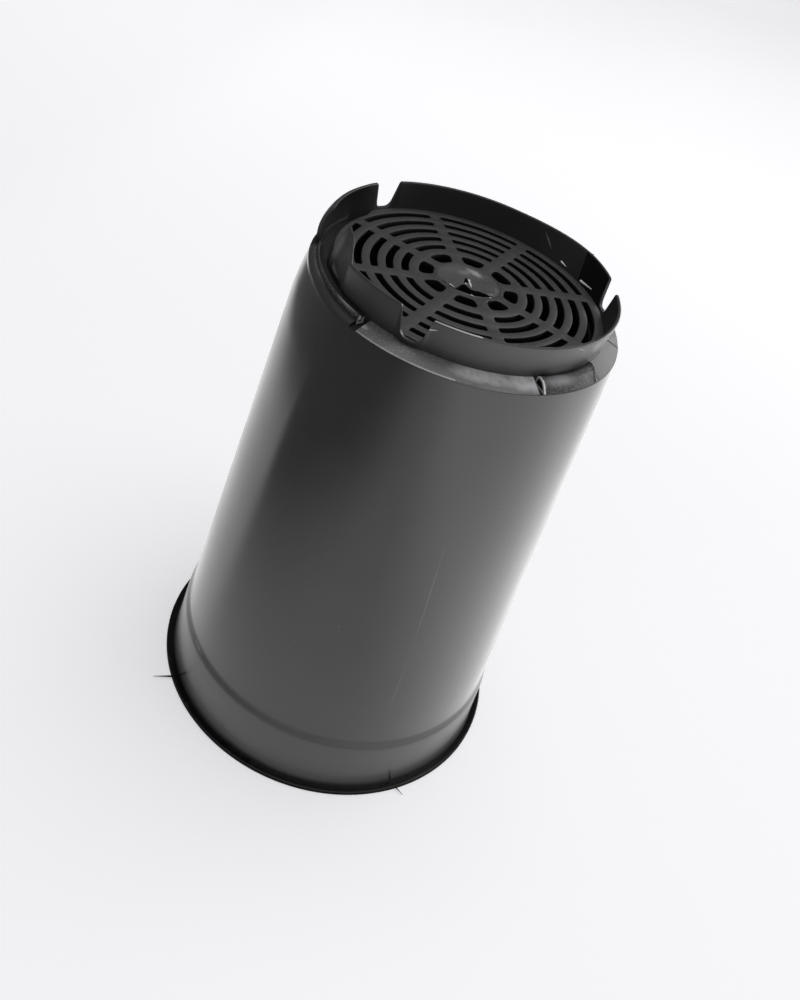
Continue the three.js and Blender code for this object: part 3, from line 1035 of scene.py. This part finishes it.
@dataclass(frozen=True)
class FootWall:
    """The flared wall that the planted pot stands on, with drain notches and a split left side."""

    thickness: float = 1.3 * MM
    edge_round: float = 0.42 * MM
    steps: int = 1080
    row: float = 1.1 * MM
    root_gap: float = 0.3 * MM
    floor_rise: float = 1.8 * MM
    notches: tuple[float, ...] = (-11, 111, 232)
    notch_width: float = 12.3 * MM
    notch_floor: float = 7.4 * MM
    notch_corner: float = 3.4 * MM
    notch_lip: float = 0.8 * MM
    split_from: float = -84
    split_to: float = -72
    flat_turn: float = -76.1
    flat_radius: float = 48.3 * MM
    flat_end: float = -43
    flat_overlap: float = 6
    flat_ease: float = 1.4 * MM
    ease_turn: float = 9
    flap_root_share: float = 0.2
    bulge: float = 4.2 * MM
    bulge_fade: float = 1.1
    bulge_from: float = -122
    bulge_to: float = -110
    spread: float = 2.7 * MM
    spread_turn: float = 138
    spread_reach: float = 36
    worn_from: float = -72
    worn_to: float = 60
    worn_band: float = 0.4 * MM
    worn_rise: float = 0.15
    worn_facing: float = -0.2
    burr_from: float = -5
    burr_to: float = 12
    burr_facing: float = 0.5
    inner_shade_facing: float = -0.5
    inner_shade_from: float = 112
    inner_shade_to: float = 131
    fold_lean: float = 6
    # The two pale shreds at the grille's edge by the right rear paint the bright floor seen through slits
    # there; the third lies on the front edge
    white_shreds: tuple[Shred, ...] = (
        (55.9, 131.2, 229.8, 56.0, 123.0, 230.9, 0.62),
        (56.1, 145.0, 230.6, 56.1, 141.6, 230.1, 0.5),
        (57.3, -5.6, 236.2, 57.5, -3.0, 237.3, 0.22),
    )
    black_shreds: tuple[Shred, ...] = (
        (59.7, 140.5, 239.2, 60.6, 134.5, 239.3, 0.55),
        (60.2, 137.0, 239.4, 61.2, 135.0, 239.5, 0.35),
    )

    def notch_side(self, depth: float) -> float:
        """Gives the slope angle of a notch's side, from its width at the top and at the floor.

        Args:
            depth: the notch's depth.

        Returns:
            The angle from level, in radians.
        """
        return math.atan2(depth, (self.notch_width - self.notch_floor) / 2)

    def top_at(self, turn: float, floor: float, top: float, radius: float) -> float:
        """Gives the wall's height at an angle, which dips into the notches.

        Args:
            turn: the angle in degrees.
            floor: height of the notches' floor.
            top: height of the wall's edge.
            radius: the wall's radius there.

        Returns:
            The height of the wall's edge.
        """
        depth = top - floor
        slope = self.notch_side(depth)
        reach = self.notch_corner * math.tan(slope / 2)
        lip_reach = self.notch_lip * math.tan(slope / 2)
        arc_from = self.notch_floor / 2 - reach
        arc_to = arc_from + self.notch_corner * math.sin(slope)
        lip_to = self.notch_width / 2 + lip_reach
        lip_from = lip_to - self.notch_lip * math.sin(slope)
        for middle in self.notches:
            apart = abs(math.radians((turn - middle + 180) % 360 - 180)) * radius
            if apart >= lip_to:
                continue
            if apart <= arc_from:
                return floor
            if apart <= arc_to:
                run = apart - arc_from
                return floor + self.notch_corner - math.sqrt(self.notch_corner**2 - run**2)
            if apart <= lip_from:
                return top - (self.notch_width / 2 - apart) * math.tan(slope)
            run = lip_to - apart
            return top - self.notch_lip + math.sqrt(max(0.0, self.notch_lip**2 - run**2))
        return top

    def shift(self, turn: float, rise: float, radius: float) -> float:
        """Gives how far the wall stands outward of its true radius where it is bent.

        Args:
            turn: the angle in degrees.
            rise: share of the wall's height, from 0 to 1.
            radius: the outer skin's true radius at that height.

        Returns:
            The shift, below 0 where the wall leans in.
        """
        if within(turn, self.split_to - 1, self.flat_end + self.flat_overlap):
            ease = smooth_step(self.split_to + self.ease_turn, self.split_to, turn)
            eased = self.flat_radius + self.flat_ease * ease
            chord = eased / math.cos(math.radians(turn - self.flat_turn))
            inward = max(0.0, radius - chord)
            return -inward * (self.flap_root_share + (1 - self.flap_root_share) * rise)
        if within(turn, self.bulge_from, self.split_from + 1):
            share = smooth_step(self.bulge_from, self.bulge_to, turn)
            return self.bulge * share * (1 - self.bulge_fade * rise**3)
        spread = smooth_step(self.spread_reach, 0, abs(turn - self.spread_turn))
        return self.spread * spread * rise

    def build(self) -> None:
        """Spins the wall's section, then shapes its notches and its damage."""
        root_low, root_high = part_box("foot_root")
        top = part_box("foot_wall_back")[1].z
        floor = root_high.z + self.floor_rise
        root = outer_radius("foot_root") - self.root_gap
        crown = outer_radius("foot_wall_right")
        mesh = wire_outline([
            (root, root_low.z, 0),
            (crown, top, self.edge_round),
            (crown - self.thickness, top, self.edge_round),
            (root - self.thickness, root_low.z, 0),
        ])
        cut_long_edges(mesh, self.row)
        sweep(mesh, self.split_to, self.split_from + 360, 360 / self.steps)
        height = top - root_low.z
        for point in mesh.verts:
            turn = angle_of(point.co)
            edge_height = self.top_at(turn, floor, top, crown)
            point.co.z -= (top - edge_height) * max(0.0, (point.co.z - root_low.z) / height)
            rise = (point.co.z - root_low.z) / height
            outer = root + (crown - root) * rise
            shift_out(point, self.shift(turn, rise, outer))
        mesh.normal_update()

        def facing(middle: Vector, normal: Vector) -> float:
            """Gives how far a face looks away from the axis, from -1 inwards to 1 outwards."""
            return (normal.x * middle.x + normal.y * middle.y) / axis_distance(middle)

        def worn(middle: Vector, normal: Vector) -> bool:
            """Picks the inner rounding of the front's top edge, which gets a painted highlight."""
            turn = angle_of(middle)
            burr = within(turn, self.burr_from, self.burr_to)
            bright = facing(middle, normal) < (self.burr_facing if burr else self.worn_facing)
            high = middle.z > self.top_at(turn, floor, top, crown) - self.worn_band
            upward = normal.z > self.worn_rise
            return bright and high and upward and within(turn, self.worn_from, self.worn_to)

        def inner_shade(middle: Vector, normal: Vector) -> bool:
            """Picks the inner face between the fold and the right notch, which gets painted shade."""
            lean = self.fold_lean * (middle.z - root_low.z) / height
            inward = facing(middle, normal) < self.inner_shade_facing
            return inward and within(angle_of(middle), self.inner_shade_from, self.inner_shade_to + lean)

        # The front's top edge gets a painted highlight, the inner face by the right notch painted shade
        give_finish(mesh, 1, worn)
        give_finish(mesh, 2, inner_shade)
        lay_shreds(mesh, place_shreds(self.white_shreds), 3)
        lay_shreds(mesh, place_shreds(self.black_shreds), 0)
        finishes = [FOOT_SATIN, HIGHLIT_WORN_EDGE, INNER_PAINTED_SHADE, PALE_AND_HIGHLIGHT]
        replaced = ["foot_wall_right", "foot_wall_back", "foot_wall_left_rear", "foot_wall_left_front"]
        finish_piece(mesh, "foot_wall", finishes, replaced, 50)


@dataclass(frozen=True)
class Grille:
    """The drainage grille: hub, spokes and the bars between rows of curved slots."""

    thickness: float = 1.8 * MM
    spokes: int = 8
    first_spoke: float = 28
    spoke_width: float = 4.8 * MM
    hub: float = 14.1 * MM
    hub_opening: float = 5.8 * MM
    hub_corner: float = 2.3 * MM
    patch: float = 12.2 * MM
    rows: int = 5
    slot_width: float = 2.9 * MM
    slot_corner: float = 0.9 * MM
    first_bar: float = 3.8 * MM
    bar_gap: float = 0.2 * MM
    wall_gap: float = 0.3 * MM
    margin: float = 3.0 * MM
    steps: int = 240
    patch_steps: int = 72
    curve_step: float = 3
    weld: float = 1e-6
    rim_turn: float = 1.2
    edge_round: float = 0.28 * MM
    tear_from: float = -118
    tear_to: float = -62
    tear_depth: float = 2.2 * MM
    tear_fade: float = 4
    rim_inset: float = 0.9 * MM
    seat_width: float = 1.4 * MM
    seat_gap: float = 0.05 * MM

    def outline(self, inner: float, outer: float, spoke: float, corner: float) -> list[Vector]:
        """Draws one opening between two spokes, with rounded corners.

        Args:
            inner: radius of its inner side.
            outer: radius of its outer side.
            spoke: angle of the spoke before it.
            corner: rounding of its corners.

        Returns:
            The closed outline.
        """
        middle = spoke + 180 / self.spokes
        sides = []
        for radius, way in ((outer, 1), (inner, -1)):
            spoke_half = math.degrees(math.asin(self.spoke_width / 2 / radius))
            half = 180 / self.spokes - spoke_half - math.degrees(corner / radius)
            steps = max(2, math.ceil(2 * half / self.curve_step))
            turns = [middle + way * half * (2 * step / steps - 1) for step in range(steps + 1)]
            sides.append([on_circle(radius, turn, 0) for turn in turns])
        share = corner / (outer - inner)
        closed = []
        for way, side, following in ((1, *sides), (-1, *reversed(sides))):
            last, first = side[-1], following[0]
            out_last = self.end_corner(last, way, corner)
            out_first = self.end_corner(first, way, corner)
            closed += side
            closed += self.arc(last, out_last, out_last.lerp(out_first, share))
            closed += self.arc(out_first.lerp(out_last, share), out_first, first)
        return closed

    def end_corner(self, point: Vector, way: int, corner: float) -> Vector:
        """Gives the sharp corner beyond the end of a curved side.

        Args:
            point: the side's last rounded point.
            way: 1 towards larger angles, or -1.
            corner: rounding of the corner.

        Returns:
            The corner.
        """
        return on_circle(point.length, angle_of(point) + way * math.degrees(corner / point.length), 0)

    def arc(self, start: Vector, corner: Vector, end: Vector) -> list[Vector]:
        """Gives the inner points of a quadratic curve from start to end that turns at a corner."""
        shares = (0.25, 0.5, 0.75, 1.0)
        return [start.lerp(corner, share).lerp(corner.lerp(end, share), share) for share in shares]

    def rim(self) -> list[Vector]:
        """Draws the plate's outer edge, which is torn back on the left."""
        full = outer_radius("foot_root") - self.rim_inset
        turns = [360 * step / self.steps - 180 for step in range(self.steps)]
        return [on_circle(full - self.torn(turn), turn, 0) for turn in turns]

    def torn(self, turn: float) -> float:
        """Gives how far the plate's edge is torn back at an angle."""
        share = smooth_step(self.tear_from - self.tear_fade, self.tear_from + self.tear_fade, turn)
        share *= smooth_step(self.tear_to + self.tear_fade, self.tear_to - self.tear_fade, turn)
        return self.tear_depth * share

    def build(self) -> None:
        """Fills the plate between its rim and its openings, then gives it thickness and soft edges."""
        low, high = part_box("drainage_grille")
        mesh = bmesh.new()
        inside = outer_radius("foot_root") - self.wall_gap - self.seat_width
        first_row = self.hub + self.hub_opening + self.first_bar + self.bar_gap
        pitch = (inside - self.margin - self.slot_width - first_row) / (self.rows - 1)
        turns = [360 / self.patch_steps * step for step in range(self.patch_steps)]
        loops = [self.rim(), [on_circle(self.patch, turn, 0) for turn in turns]]
        for index in range(self.spokes):
            spoke = self.first_spoke + 360 / self.spokes * index
            loops.append(self.outline(self.hub, self.hub + self.hub_opening, spoke, self.hub_corner))
            for row in range(self.rows):
                start = first_row + pitch * row
                loops.append(self.outline(start, start + self.slot_width, spoke, self.slot_corner))
        for loop in loops:
            corners = [mesh.verts.new((point.x, point.y, high.z)) for point in loop]
            for side in sides_of(corners):
                mesh.edges.new(side)
        bmesh.ops.remove_doubles(mesh, verts=mesh.verts[:], dist=self.weld)
        bmesh.ops.triangle_fill(
            mesh, use_beauty=True, use_dissolve=False, edges=mesh.edges[:], normal=(0, 0, 1)
        )
        thicken(mesh, high.z - low.z)
        rims = [edge for edge in mesh.edges if edge.is_manifold and edge.calc_face_angle(0) > self.rim_turn]
        rims = [edge for edge in rims if abs(edge.verts[0].co.z - edge.verts[1].co.z) < self.weld]
        bmesh.ops.bevel(
            mesh, geom=rims, offset=self.edge_round, segments=2, profile=0.5, affect="EDGES", material=-1
        )
        HubLift().bend(mesh)
        mesh.normal_update()
        give_finish(mesh, 1, lambda middle, normal: abs(normal.z) < STEEP)
        finish_piece(mesh, "grille", [GRILLE, SHADED], ["drainage_grille"], 30)
        self.seat(low.z)

    def seat(self, top: float) -> None:
        """Spins the short ring that carries the plate's edge and follows its tear.

        Args:
            top: height of the plate's underside.
        """
        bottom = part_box("foot_root")[0].z
        outer = outer_radius("foot_root") - self.rim_inset
        inner, middle = outer - self.seat_width, top + self.thickness / 2
        section = [(inner, bottom, 0), (outer, bottom, 0), (outer, middle, 0), (inner, middle, 0)]
        mesh = ring(section, self.steps)
        for point in mesh.verts:
            shift_out(point, -self.seat_gap - self.torn(angle_of(point.co)))
        give_finish(mesh, 1, lambda middle, normal: within(angle_of(middle), self.tear_from, self.tear_to))
        finish_piece(mesh, "grille_seat", [GRILLE, SHADED], ["foot_root"])


@dataclass(frozen=True)
class HubPatch:
    """The hub's wavy middle, cracked open beside the point where the plastic entered the mould."""

    radius: float = 12.6 * MM
    cell: float = 0.35 * MM
    rise: float = 0.38 * MM
    sink: float = 0.08 * MM
    wave: float = 0.5 * MM
    wave_place: tuple[float, float, float] = (130, 200, 1.7)
    crease: float = 0.12 * MM
    crease_place: tuple[float, float, float] = (420, 420, 4.2)
    depth: float = 1.4 * MM
    edge: float = 2.6 * MM
    snap: float = 1.5
    crack: tuple[tuple[float, float], ...] = (
        (-11.3, -5.4), (-8.9, -7.9), (-6.7, -9.6), (-3.6, -10.8), (-1.9, -6.2), (-0.5, -5.8), (2.1, -8.0),
        (4.8, -6.8), (8.5, -6.9), (11.2, -5.7), (9.3, -7.6), (7.4, -9.2), (3.3, -11.3), (-0.2, -11.5),
        (-2.7, -11.4), (-5.0, -10.9), (-8.8, -8.6),
    )
    nick: tuple[tuple[float, float], ...] = ((-1.8, 1.8), (-1.7, -4.8), (0.1, -3.2))
    flecks: tuple[tuple[float, float, float, float, float], ...] = (
        (-0.2, -0.6, 0.6, -3.6, 0.5), (0.6, -3.2, 1.7, -6.3, 0.45), (-1.0, -4.6, -0.2, -5.4, 0.3),
        (-6.2, -9.9, -4.0, -11.1, 0.3), (2.6, -11.9, 3.8, -12.0, 0.25), (9.4, -8.4, 10.2, -8.2, 0.25),
    )

    def loops(self) -> list[list[Vector]]:
        """Gives the outlines of the crack and of the nick beside it."""
        return [[Vector((x * MM, y * MM, 0)) for x, y in loop] for loop in (self.crack, self.nick)]

    def lump(self, point: Vector, place: tuple[float, float, float]) -> float:
        """Reads a smooth random height, with a scale along X and Y and a level of the pattern."""
        return noise.noise(Vector((point.x * place[0], point.y * place[1], place[2])))

    def inside(self, point: Vector, loop: list[Vector]) -> bool:
        """Says whether a point lies inside an outline, seen from above."""
        crossings = 0
        for first, second in sides_of(loop):
            if (first.y > point.y) != (second.y > point.y):
                across = first.x + (point.y - first.y) * (second.x - first.x) / (second.y - first.y)
                crossings += point.x < across
        return crossings % 2 == 1

    def open_up(self, mesh: bmesh.types.BMesh) -> None:
        """Trims a grid to the round patch, cuts the openings and draws the rough edges on to their outlines.

        Args:
            mesh: the grid.
        """
        loops = self.loops()
        gone = []
        for face in mesh.faces:
            middle = face.calc_center_median()
            if middle.length > self.radius or any(self.inside(middle, loop) for loop in loops):
                gone.append(face)
        bmesh.ops.delete(mesh, geom=gone, context="FACES")
        for point in mesh.verts:
            if not point.is_boundary:
                continue
            spots = [point.co.normalized() * self.radius]
            for loop in loops:
                for first, second in sides_of(loop):
                    spot, share = geometry.intersect_point_line(point.co, first, second)
                    spots.append(first.lerp(second, min(1.0, max(0.0, share))))
            nearest = min(spots, key=lambda spot: (spot - point.co).length)
            if (nearest - point.co).length < self.snap * self.cell:
                point.co = nearest

    def build(self) -> None:
        """Shapes the patch from a fine grid, gives it depth and lays the pale shreds beside the crack."""
        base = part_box("gate_pad")[0].z
        mesh = bmesh.new()
        cells = round(2 * self.radius / self.cell)
        bmesh.ops.create_grid(mesh, x_segments=cells, y_segments=cells, size=self.radius + self.cell)
        self.open_up(mesh)
        for point in mesh.verts:
            inner = smooth_step(self.radius, self.radius - self.edge, point.co.length)
            lump = self.lump(point.co, self.wave_place)
            crease = self.lump(point.co, self.crease_place)
            point.co.z = base - self.sink + inner * (self.rise + self.wave * lump + self.crease * crease)
        thicken(mesh, self.depth)
        mesh.normal_update()
        give_finish(mesh, 1, lambda middle, normal: normal.z < STEEP)
        height = base + self.rise
        flecks = [
            (Vector((x_from * MM, y_from * MM, height)), Vector((x_to * MM, y_to * MM, height)), half * MM)
            for x_from, y_from, x_to, y_to, half in self.flecks
        ]
        lay_shreds(mesh, flecks, 2)
        HubLift().bend(mesh)
        finish_piece(mesh, "hub_patch", [HUB, SHADED, PALE_AND_HIGHLIGHT], ["gate_pad"], 60)


@dataclass(frozen=True)
class Lamp:
    """One square area lamp, in metres and watts."""

    name: str
    place: tuple[float, float, float]
    target: tuple[float, float, float]
    size: float
    power: float
    gloss_only: bool = False

    def hang(self) -> None:
        """Adds the lamp to the scene, facing its target."""
        data = bpy.data.lights.new(self.name, "AREA")
        data.size = self.size
        data.energy = self.power
        lamp = bpy.data.objects.new(self.name, data)
        facing = (Vector(self.target) - Vector(self.place)).to_track_quat("-Z", "Y").to_matrix().to_4x4()
        lamp.matrix_world = Matrix.Translation(self.place) @ facing
        lamp.visible_diffuse = not self.gloss_only
        bpy.context.scene.collection.objects.link(lamp)


@dataclass(frozen=True)
class Studio:
    """The pale floor, the soft light and the camera at the photograph's viewing angle."""

    camera_place: tuple[float, float, float] = (0.00602, -0.33397, 0.39348)
    tilt: float = 39.71
    roll: float = 21.48
    focal_pixels: float = 948.3
    frame_pixels: float = 1000
    sensor: float = 36
    floor_reach: float = 6
    floor_tone: float = 0.75
    floor_rough: float = 0.9
    floor_sheen: float = 0.1
    floor_glow: float = 0.44
    far_glow: float = 0.1
    far_edge: tuple[float, float] = (0.15, 1.0)
    sheet_rise: float = 0.4 * MM
    sheet_level: float = 1.25
    left_shade: float = 0.82
    left_edge: tuple[float, float] = (-0.02, -0.32)
    left_swing: tuple[float, float, float, float] = (-0.2, -0.45, 0.0, 0.09)
    front_edge: tuple[float, float] = (-0.03, -0.07)
    far_left_edge: tuple[float, float] = (-0.30, -0.41)
    right_glow: float = 0.85
    right_edge: tuple[float, float] = (0.03, 0.24)
    behind_fade: float = 0.6
    behind_edge: tuple[float, float] = (0.05, 0.30)
    foot_shade: tuple[float, float, float, float] = (0.0855, 0.0885, 0.02, 1.0)
    surround: float = 0.15
    lamps: tuple[Lamp, ...] = (
        Lamp("overhead", (0.45, 0.2, 2.5), (0, 0, 0), 2.2, 38),
        Lamp("low_right", (0.75, 0.75, 0.45), (0, 0, 0.15), 0.7, 10, gloss_only=True),
    )

    def camera(self) -> None:
        """Places the camera and makes it the scene's."""
        data = bpy.data.cameras.new("camera")
        data.sensor_width = self.sensor
        data.lens = self.focal_pixels / self.frame_pixels * self.sensor
        data.clip_start = 0.01
        camera = bpy.data.objects.new("camera", data)
        down = Matrix.Rotation(math.radians(90 - self.tilt), 4, "X")
        rolled = Matrix.Rotation(math.radians(self.roll), 4, "Z")
        camera.matrix_world = Matrix.Translation(self.camera_place) @ down @ rolled
        bpy.context.scene.collection.objects.link(camera)
        bpy.context.scene.camera = camera

    def level_sheet(self, name: str, height: float) -> bpy.types.Object:
        """Lays a level square sheet round the pot's axis.

        Args:
            name: the sheet's name.
            height: how far it lies above the rim's plane.

        Returns:
            The sheet.
        """
        mesh = bmesh.new()
        bmesh.ops.create_grid(mesh, x_segments=1, y_segments=1, size=self.floor_reach)
        bmesh.ops.translate(mesh, verts=mesh.verts[:], vec=(0, 0, height))
        return place_mesh(mesh, name)

    def floor(self) -> None:
        """Lays the pale floor, which glows a little more far behind the pot."""
        floor = self.level_sheet("floor", 0)
        nodes = Nodes("pale floor")
        away = nodes.axes()["Y"]
        nodes.shade({
            "Base Color": grey(self.floor_tone),
            "Roughness": self.floor_rough,
            "Specular IOR Level": self.floor_sheen,
            "Emission Color": grey(1.0),
            "Emission Strength": nodes.band(
                away, *self.far_edge, self.floor_glow, self.floor_glow + self.far_glow
            ),
        })
        floor.data.materials.append(nodes.material)

    def mirror_sheet(self) -> None:
        """Lays a sheet that reflections alone see: dark at the front left, bright at the right."""
        sheet = self.level_sheet("mirror_sheet", self.sheet_rise)
        sheet.visible_camera = False
        sheet.visible_diffuse = False
        sheet.visible_shadow = False
        nodes = Nodes("mirror sheet")
        axes = nodes.axes()
        across, away = axes["X"], axes["Y"]
        swung = nodes.math("SUBTRACT", across, nodes.band(away, *self.left_swing))
        front_left = nodes.math(
            "MULTIPLY", nodes.band(away, *self.front_edge), nodes.band(swung, *self.left_edge)
        )
        shade = nodes.math("MAXIMUM", front_left, nodes.band(across, *self.far_left_edge))
        kept = nodes.math("SUBTRACT", 1.0, nodes.math("MULTIPLY", shade, self.left_shade))
        faded = nodes.math("MULTIPLY", nodes.band(away, *self.behind_edge), self.behind_fade)
        glow = nodes.math("MULTIPLY", nodes.band(across, *self.right_edge), self.right_glow)
        glow = nodes.math("MULTIPLY", glow, nodes.math("SUBTRACT", 1.0, faded))
        level = nodes.math("ADD", nodes.math("MULTIPLY", kept, self.sheet_level), glow)
        level = nodes.math("MULTIPLY", level, nodes.band(nodes.from_axis(), *self.foot_shade))
        lit = nodes.add("Emission", {"Strength": level})
        nodes.link(lit.outputs[0], nodes.tree.nodes["Material Output"].inputs["Surface"])
        sheet.data.materials.append(nodes.material)

    def light(self) -> None:
        """Lights the set: a dim surround, a wide soft lamp overhead and a low one at the right."""
        world = bpy.data.worlds.new("studio")
        bpy.context.scene.world = world
        world.use_nodes = True
        background = world.node_tree.nodes["Background"]
        background.inputs["Color"].default_value = grey(1.0)
        background.inputs["Strength"].default_value = self.surround
        for lamp in self.lamps:
            lamp.hang()

    def build(self) -> None:
        """Sets up the camera, the floor, the light and plain colour handling."""
        self.camera()
        self.floor()
        self.mirror_sheet()
        self.light()
        bpy.context.scene.view_settings.view_transform = "Standard"
        bpy.context.scene.view_settings.look = "None"


def main() -> None:
    """Builds the pot from its mouth to its foot, then the set."""
    Lip().build()
    PotWall().build()
    NestingLedge().build()
    LedgePad("ledge_pad_front", -27.3, 36.4).build()
    LedgePad("ledge_pad_right_rear", 92.7, 157.3).build()
    LedgePad("ledge_pad_left_rear", 212.7, 271).build()
    Lug("denest_lug_right", 38.2, 92).build()
    Lug("denest_lug_back", 158, 212).build()
    Lug(
        "denest_lug_left", 281, 329.6, bead=True, outer_rise=0.9 * MM, edge_round=1.3 * MM, inset=0.12 * MM
    ).build()
    FootWall().build()
    Grille().build()
    HubPatch().build()
    Studio().build()


if __name__ == "__main__":
    logging.basicConfig(level=logging.INFO)
    main()
